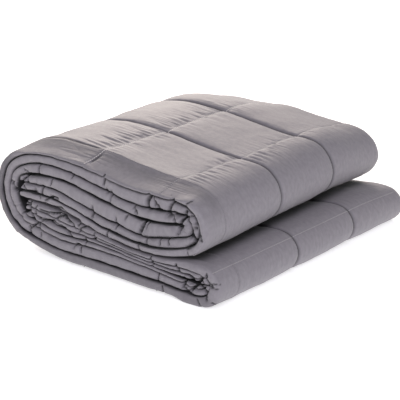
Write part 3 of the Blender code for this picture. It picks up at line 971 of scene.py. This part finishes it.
def place_of(vert):
    """The place across the quilt, which may lie between two of the grid's own lines."""
    line_places = across[side_of(vert)]
    line = math.floor(vert.co.y + ON_A_LINE)
    share = vert.co.y - line
    if share < ON_A_LINE or line_places[line].kind != line_places[line + 1].kind:
        return line_places[round(vert.co.y)]
    here, after = line_places[line], line_places[line + 1]
    return Place(here.kind, here.at + share * (after.at - here.at))


def is_front(place):
    """True for the rows round the blunt ends of the plies."""
    if place.kind == "nose":
        return place.at < NOSE_FRONT_ANGLE
    low, high = FOLD_FRONT_SHARES
    return place.kind == "near" and low < abs(place.at) < high


def shows(edge):
    place = place_of(edge.verts[0])
    if is_front(place) or place.kind in ("far", "nose"):
        return True
    spot = spot_at(length_of(edge.verts[0]))
    open_stretch = spot.x > OPEN_SIDE_X or spot.x < SPINE_X or spot.z > TOP_Z
    return place.kind == "outer" and side_of(edge.verts[0]) > 0 and open_stretch


def lengthwise(bm):
    return [edge for edge in bm.edges if edge.verts[0].co.y == edge.verts[1].co.y
            and edge.verts[0].co.z == edge.verts[1].co.z]


def has_strokes(edge):
    """True for an edge that runs across the quilt, beside a seam with strokes on top."""
    a, b = edge.verts
    if a.co.x != b.co.x or a.co.z != b.co.z or side_of(a) < 0:
        return False
    if any(place.kind != "outer" or place.at < BORDER for place in (place_of(a), place_of(b))):
        return False
    away, seam = nearest(CROSS_SEAMS, length_of(a))
    return seam in (RIGHT_SEAM, RIGHT_SEAM + 1) and abs(away) < STROKE_ROOM


def cut_finer(bm):
    bmesh.ops.subdivide_edges(bm, edges=[edge for edge in lengthwise(bm) if shows(edge)], cuts=1)
    fronts = []
    for edge in lengthwise(bm):
        place = place_of(edge.verts[0])
        if place.kind == "nose" or (is_front(place) and side_of(edge.verts[0]) < 0):
            fronts.append(edge)
    bmesh.ops.subdivide_edges(bm, edges=fronts, cuts=3)
    bmesh.ops.subdivide_edges(bm, edges=[edge for edge in bm.edges if has_strokes(edge)], cuts=1)


print("grids of", len(stations), "by", len(across[1]), "and by", len(across[-1]), "points")

# %% [markdown]
# ## What the material is told
# Each corner of a face gets the flat quilt's own metres as its UVs. Each point gets the pull of
# the seams beside it and its painted shade, which is the darkest of several: a slit, a seam, a
# fold of the border, a band under the crest, the mouth under the upper fold, or a spot that is
# turned away from the light.

# %% Marks on the cloth: UVs, gathers and painted shade
def flat_width(place):
    """Distance across the flat quilt from the near hem."""
    if place.kind == "nose":
        return NOSE_BACK * place.at / 90
    if place.kind == "outer":
        return place.at
    if place.kind == "far":
        return PLY_DEPTH + BEND_DEPTH * (1 - place.at / 90)
    if place.kind == "middle":
        return 2 * PLY_DEPTH + BEND_DEPTH - place.at
    if place.kind == "near":
        return 2 * PLY_DEPTH + LIP_BACK * place.at
    return 2 * PLY_DEPTH + place.at


def mark_cloth(bm):
    """Writes the flat quilt's metres as UVs, and how strongly the seams gather each point."""
    uv = bm.loops.layers.uv.new("flat_cloth")
    cross_layer = bm.verts.layers.float.new("gather_cross")
    long_layer = bm.verts.layers.float.new("gather_long")
    for vert in bm.verts:
        length = length_of(vert)
        width = flat_width(place_of(vert))
        for loop in vert.link_loops:
            loop[uv].uv = (length, width)
        cross, cross_seam = nearest(CROSS_SEAMS, length)
        along, long_seam = nearest(LONG_SEAMS, width)
        vert[cross_layer] = gather(width, cross, cross_seam, PUCKER_REACH)
        vert[long_layer] = gather(length, along, long_seam + LONG_ROWS, LONG_PUCKER_REACH)


def between_plies(place, side):
    """Painted shade where a ply end turns into the slit beside it: 1 there, 0 on its face."""
    if place.kind == "nose":
        below = smooth_step((NOSE_SLIT_ANGLE - place.at) / NOSE_SLIT_BLEND)
        return below if side > 0 else 1.0
    from_middle = abs(2 * abs(place.at) - 1)
    beside = smooth_step((from_middle - FOLD_SLIT_SHARE) / FOLD_SLIT_BLEND)
    return beside if side < 0 else 1.0


def front_share(place):
    """1 on the face of a ply end, 0 at its corners, where crumples stop."""
    if place.kind == "nose":
        return max(math.cos(math.radians(place.at)), 0.0) ** 0.5
    return max(math.sin(math.pi * abs(place.at)), 0.0) ** 0.7


def mouth_shade(point, spot):
    """The shade painted into the colour where the upper fold almost touches the bundle below it.
    """
    x, y, z = point.x + CENTRE_X, point.y + CENTRE_Y, point.z + BED
    if x < 0 or not MOUTH_Z_RANGE[0] < z < MOUTH_Z_RANGE[1]:
        return 0.0
    edge = MOUTH_UPPER_X if spot.z > MOUTH_Z else MOUTH_LOWER_X
    edge += UPPER_DRIFT * y / PLY_DEPTH
    return MOUTH_SHADE * smooth_step((edge - x) / MOUTH_BLEND)


def turned_away(spot, depth, length):
    """The shade painted on the border where it bends out of the light, on the spine and
    underneath.
    """
    spine = SPINE_EDGE_SHADE * smooth_step((SPINE_X + CM - spot.x) / SHADE_BLEND)
    shade = max(spine, LOW_EDGE_SHADE * faces_down(length))
    return shade * smooth_step((BORDER - depth) / SHADE_BLEND)


def painted_shade_at(point, place, side, spot, length):
    """How much shade is painted into the cloth's colour at a folded point, from 0 to 1, before the
    creases are added.
    """
    if place.kind == "nose":
        return max(between_plies(place, side), turned_away(spot, 0.0, length))
    if place.kind == "near":
        return between_plies(place, side)
    if place.kind != "outer" or side < 0:
        return 0.0
    away, seam = nearest(LONG_SEAMS, place.at)
    groove = SEAM_SHADE * groove_share(seam, length)
    groove *= math.exp(-(away / GROOVE_WIDTH) ** 2)
    cross, cross_seam = nearest(CROSS_SEAMS, length)
    notch = NOTCH_SHADE * notch_share(cross_seam, cross, place.at)
    below = math.exp(-((place.at - CREST_SHADE_DEPTH) / CREST_SHADE_REACH) ** 2)
    crest = CREST_SHADE * below * faces_up(length)
    return max(groove, notch, crest, mouth_shade(point, spot),
               turned_away(spot, place.at, length))


print("the darkest seam is", SEAM_SHADE, "of the way to black")

# %% [markdown]
# ## Fold it up
# Every point of the flat mesh is moved to its folded place. Then the creases and crumples are
# pressed into the ply ends, and shade is painted along the middle of each crease.

# %% Build the quilt
def fold_up(bm):
    """Moves every point to its folded place, then presses in the creases at the near end and
    paints shade along them.
    """
    # painted shade: how far each point's colour goes towards near black
    slit = bm.verts.layers.float.new("slit")
    fronts = []
    shares = []
    faces = []
    for vert in bm.verts:
        side, place, length = side_of(vert), place_of(vert), length_of(vert)
        spot = spot_at(length)
        vert.co = folded_point(place, side, spot, length)
        vert[slit] = painted_shade_at(vert.co, place, side, spot, length)
        if is_front(place):
            fronts.append(vert)
            shares.append(HEM_SHARE if place.kind == "nose" else 1.0)
            faces.append(front_share(place))
    x = np.array([(vert.co.x + CENTRE_X) / CM for vert in fronts])
    z = np.array([(vert.co.z + BED) / CM for vert in fronts])
    creased, cores = crease_depths(x, z)
    pressed = (creased + np.array(faces) * crumple_depths(x, z)) * CM
    # painted shade along the middle of each crease
    for vert, core in zip(fronts, cores):
        vert[slit] = max(vert[slit], smooth_step((float(core) - 0.15) / 0.5))
    for vert, depth, share in zip(fronts, pressed, shares):
        room = CREASE_REACH - (vert.co.y + CENTRE_Y)
        vert.co.y += min(float(depth) * share, max(room, 0.0))


def mesh_from(bm, name):
    mesh = bpy.data.meshes.new(name)
    bm.to_mesh(mesh)
    bm.free()
    return mesh


def object_from(bm, name):
    obj = bpy.data.objects.new(name, mesh_from(bm, name))
    bpy.context.scene.collection.objects.link(obj)
    return obj


def build_quilt():
    bm = bmesh.new()
    close_rim(bm, flat_faces(bm))
    cut_finer(bm)
    mark_cloth(bm)
    fold_up(bm)
    open_edges = sum(1 for edge in bm.edges if not edge.is_manifold)
    triangles = sum(len(face.verts) - 2 for face in bm.faces)
    obj = object_from(bm, "quilt")
    obj.data.shade_smooth()
    print("quilt has", triangles, "triangles and", open_edges, "open edges")
    return obj


quilt = build_quilt()

# %% [markdown]
# ## Cotton
# The cloth is a fine plain weave, lilac grey, with a soft sheen. Its bump has three kinds of
# layer: fine gathers beside the seams, faint wrinkles everywhere, and the threads both ways. All
# are laid out on the flat quilt's own metres, so they follow the cloth round every fold. Shade is
# painted into the colour: it goes towards near black where the quilt's points carry painted shade.

# %% Material
Bump = namedtuple("Bump", "along across detail distance gathered_by")
BUMPS = [Bump(*row) for row in (
    (14.0, 130.0, 1.0, 2.6 * MM, "gather_cross"),
    (110.0, 18.0, 1.0, 0.9 * MM, "gather_long"),
    (60.0, 80.0, 3.0, 0.25 * MM, None),
    (800.0, 1500.0, 0.0, 0.10 * MM, None),
    (1500.0, 800.0, 0.0, 0.10 * MM, None),
)]
RIDGE_ROUNDNESS = 0.6
COTTON_SHADES = ((0.34, (0.248, 0.229, 0.255, 1.0)), (0.66, (0.286, 0.266, 0.292, 1.0)))
# near black that is mixed into the cloth's colour as painted shade
PAINTED_SHADE_COLOUR = (0.022, 0.021, 0.024, 1.0)


def stretched_noise(tree, scale_u, scale_v, detail):
    """Noise on the flat cloth, drawn out along one direction of the weave."""
    uv = tree.nodes.new("ShaderNodeUVMap")
    uv.uv_map = "flat_cloth"
    mapping = tree.nodes.new("ShaderNodeMapping")
    mapping.inputs["Scale"].default_value = (scale_u, scale_v, 1.0)
    noise_node = tree.nodes.new("ShaderNodeTexNoise")
    noise_node.inputs["Scale"].default_value = 1.0
    noise_node.inputs["Detail"].default_value = detail
    tree.links.new(uv.outputs["UV"], mapping.inputs["Vector"])
    tree.links.new(mapping.outputs["Vector"], noise_node.inputs["Vector"])
    return noise_node.outputs["Fac"]


def compute(tree, operation, value, other=None):
    """A maths node on one value, or on a value and a number or second value."""
    node = tree.nodes.new("ShaderNodeMath")
    node.operation = operation
    tree.links.new(value, node.inputs[0])
    if isinstance(other, float):
        node.inputs[1].default_value = other
    elif other is not None:
        tree.links.new(other, node.inputs[1])
    return node.outputs[0]


def ridged(tree, value):
    """Turns smooth noise into rounded ridges with narrow valleys between them."""
    folded = compute(tree, "ABSOLUTE", compute(tree, "SUBTRACT", value, 0.5))
    return compute(tree, "POWER", folded, RIDGE_ROUNDNESS)


def attribute(tree, name):
    node = tree.nodes.new("ShaderNodeAttribute")
    node.attribute_name = name
    return node.outputs["Fac"]


def add_bump(tree, height, distance, before=None):
    bump = tree.nodes.new("ShaderNodeBump")
    bump.inputs["Distance"].default_value = distance
    tree.links.new(height, bump.inputs["Height"])
    if before is not None:
        tree.links.new(before, bump.inputs["Normal"])
    return bump.outputs["Normal"]


def new_material(name, roughness):
    material = bpy.data.materials.new(name)
    material.use_nodes = True
    shader = material.node_tree.nodes["Principled BSDF"]
    shader.inputs["Roughness"].default_value = roughness
    return material, shader


def cotton():
    material, shader = new_material("cotton", 0.62)
    tree = material.node_tree
    shader.inputs["Specular IOR Level"].default_value = 0.35
    shader.inputs["Sheen Weight"].default_value = 0.22
    shader.inputs["Sheen Roughness"].default_value = 0.4

    shade = tree.nodes.new("ShaderNodeValToRGB")
    for element, (position, colour) in zip(shade.color_ramp.elements, COTTON_SHADES):
        element.position = position
        element.color = colour
    tree.links.new(stretched_noise(tree, 160.0, 210.0, 5.0), shade.inputs["Fac"])
    # painted shade: the colour is mixed towards near black by each point's painted shade
    deep = tree.nodes.new("ShaderNodeMix")
    deep.data_type = "RGBA"
    deep.inputs["B"].default_value = PAINTED_SHADE_COLOUR
    tree.links.new(attribute(tree, "slit"), deep.inputs["Factor"])
    tree.links.new(shade.outputs["Color"], deep.inputs["A"])
    tree.links.new(deep.outputs["Result"], shader.inputs["Base Color"])

    normal = None
    for bump in BUMPS:
        height = stretched_noise(tree, bump.along, bump.across, bump.detail)
        if bump.gathered_by:
            strength = attribute(tree, bump.gathered_by)
            height = compute(tree, "MULTIPLY", ridged(tree, height), strength)
        normal = add_bump(tree, height, bump.distance, normal)
    tree.links.new(normal, shader.inputs["Normal"])
    return material


cloth = cotton()
quilt.data.materials.append(cloth)
print("cotton has", len(cloth.node_tree.nodes), "nodes")

# %% [markdown]
# ## Stitches
# Every seam is a row of small stitches, a little proud of its valley. They stand on the outer
# ply, which is the face that shows all round the stack. One more row runs along the corner that
# peeks out inside the upper fold. They are four pieces of one thread in four tones, two of them
# painted light and shade: the seam on top pale as a painted highlight, the other seams across the
# strip mid grey, the seam beside the near hem in the cloth's tone, and the others along the strip
# near black as painted shade of their grooves.

# %% Sew the seams
STITCH_PITCH = 3.4 * MM
STITCH_LENGTH = 3.3 * MM
STITCH_WIDTH = 1.15 * MM
ROW_LENGTH = 61               # points to a row, so that each row's mesh stays small
PAD_FROM_X = 1.3 * CM         # the corner inside the upper fold has a row near its lower edge
PAD_TO_X = 6.6 * CM
PAD_SHARE = 0.3
CROSS_ROW_FROM = 0.35 * CM    # from the near hem
LONG_ROW_ENDS = 0.5 * CM      # from the strip's two ends
UPPER_RUN = 7 * SAMPLES_PER_ROW   # spots on the run under the top one


def outer_point(length, depth):
    point = folded_point(Place("outer", depth), 1, spot_at(length), length)
    point.z = max(point.z, STITCH_WIDTH / 2)
    return point


def add_stitch(bm, a, b):
    """One stitch from a to b, as a slim five-sided bead."""
    run = (b - a).normalized()
    rotation = run.to_track_quat("X", "Z").to_matrix().to_4x4()
    matrix = Matrix.Translation((a + b) / 2) @ rotation @ Matrix.Diagonal(
        (STITCH_LENGTH / 2, STITCH_WIDTH / 2, STITCH_WIDTH / 2, 1.0))
    bmesh.ops.create_uvsphere(bm, u_segments=5, v_segments=4, radius=1.0, matrix=matrix)


def sew_row(points):
    """Stitches along a row of points that are half a stitch pitch apart, as a mesh."""
    bm = bmesh.new()
    for a, b, c in zip(points[0::2], points[1::2], points[2::2]):
        side = (c - a).normalized()
        add_stitch(bm, b - side * STITCH_LENGTH / 2, b + side * STITCH_LENGTH / 2)
    return mesh_from(bm, "row")


def cross_row(seam):
    depths = even(CROSS_ROW_FROM, PLY_DEPTH - BEND_DEPTH, STITCH_PITCH / 2)
    return [outer_point(float(seam), depth) for depth in depths]


def long_row(depth):
    lengths = even(LONG_ROW_ENDS, STRIP_LENGTH - LONG_ROW_ENDS, STITCH_PITCH / 2)
    return [outer_point(length, float(depth)) for length in lengths]


def pad_row():
    start, stop = (float(np.interp(x, spot_columns[0][:UPPER_RUN], spot_lengths[:UPPER_RUN]))
                   for x in (PAD_FROM_X, PAD_TO_X))
    return [folded_point(Place("near", PAD_SHARE), -1, spot_at(length), length)
            for length in even(start, stop, STITCH_PITCH / 2)]


def thread(name, colour):
    material, shader = new_material(name + "_thread", 0.5)
    shader.inputs["Base Color"].default_value = colour
    return material


def sew_seams(name, rows, colour):
    bm = bmesh.new()
    for row in rows:
        for start in range(0, len(row) - 2, ROW_LENGTH - 1):
            short = sew_row(row[start:start + ROW_LENGTH])
            bm.from_mesh(short)
            bpy.data.meshes.remove(short)
    obj = object_from(bm, name)
    mesh = obj.data
    mesh.shade_smooth()
    mesh.materials.append(thread(name, colour))
    print(name, "have", sum(len(face.vertices) - 2 for face in mesh.polygons), "triangles")
    return obj


TOP_SEAM = CROSS_SEAMS[RIGHT_SEAM + 1]
# painted highlight: the seam on top gets pale thread
top_stitches = sew_seams("top_stitches", [cross_row(TOP_SEAM)], (0.85, 0.80, 0.78, 1.0))
cross_stitches = sew_seams("cross_stitches",
                           [cross_row(seam) for seam in CROSS_SEAMS if seam != TOP_SEAM],
                           (0.42, 0.395, 0.41, 1.0))
near_stitches = sew_seams("near_stitches", [long_row(LONG_SEAMS[0])], (0.27, 0.25, 0.275, 1.0))
# painted shade: the seams along the strip get near-black thread
long_stitches = sew_seams("long_stitches", [*map(long_row, LONG_SEAMS[1:-1]), pad_row()],
                          (0.13, 0.122, 0.135, 1.0))

# %% [markdown]
# ## What each piece stands for
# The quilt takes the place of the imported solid. The stitches lie on it, as part of its cloth.

# %% Tie the pieces to the frame
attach(quilt, "root")
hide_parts("blanket")
seam_pieces = (top_stitches, cross_stitches, near_stitches, long_stitches)
for stitches in seam_pieces:
    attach(stitches, "root")
    print(stitches.name, "ride on the root")

# %% [markdown]
# ## Floor and light
# The stack lies on a pale floor that glows a little, as paper does in a photo studio. A warm low
# light stands behind it and a cooler, higher one in front, near the camera. A white world fills
# in the rest.

# %% Stage
WHITE = (1.0, 1.0, 1.0, 1.0)
FLOOR_SIZE = 6.0
FLOOR_GLOW = 0.55
WORLD_STRENGTH = 0.42


def add_floor():
    bm = bmesh.new()
    bmesh.ops.create_grid(bm, x_segments=1, y_segments=1, size=FLOOR_SIZE)
    floor = object_from(bm, "floor")
    material, shader = new_material("pale_floor", 0.9)
    shader.inputs["Base Color"].default_value = (0.9, 0.9, 0.9, 1.0)
    shader.inputs["Emission Color"].default_value = WHITE
    shader.inputs["Emission Strength"].default_value = FLOOR_GLOW
    floor.data.materials.append(material)


def add_light(name, azimuth, elevation, distance, size, power, colour):
    data = bpy.data.lights.new(name, "AREA")
    data.size = size
    data.energy = power
    data.color = colour
    light = bpy.data.objects.new(name, data)
    away = towards(azimuth, elevation)
    light.location = away * distance
    light.rotation_euler = away.to_track_quat("Z", "Y").to_euler()
    bpy.context.scene.collection.objects.link(light)


def add_world():
    world = bpy.data.worlds.new("studio")
    world.use_nodes = True
    background = world.node_tree.nodes["Background"]
    background.inputs["Color"].default_value = WHITE
    background.inputs["Strength"].default_value = WORLD_STRENGTH
    bpy.context.scene.world = world
    bpy.context.scene.view_settings.view_transform = "Standard"


add_floor()
add_world()
add_light("back", 224.0, 25.0, 1.7, 0.7, 20.5, (1.0, 0.89, 0.80))
add_light("front", 44.0, 40.0, 2.6, 0.9, 21.5, (0.91, 0.90, 1.0))
print("the stage has a floor, a world and two lights")
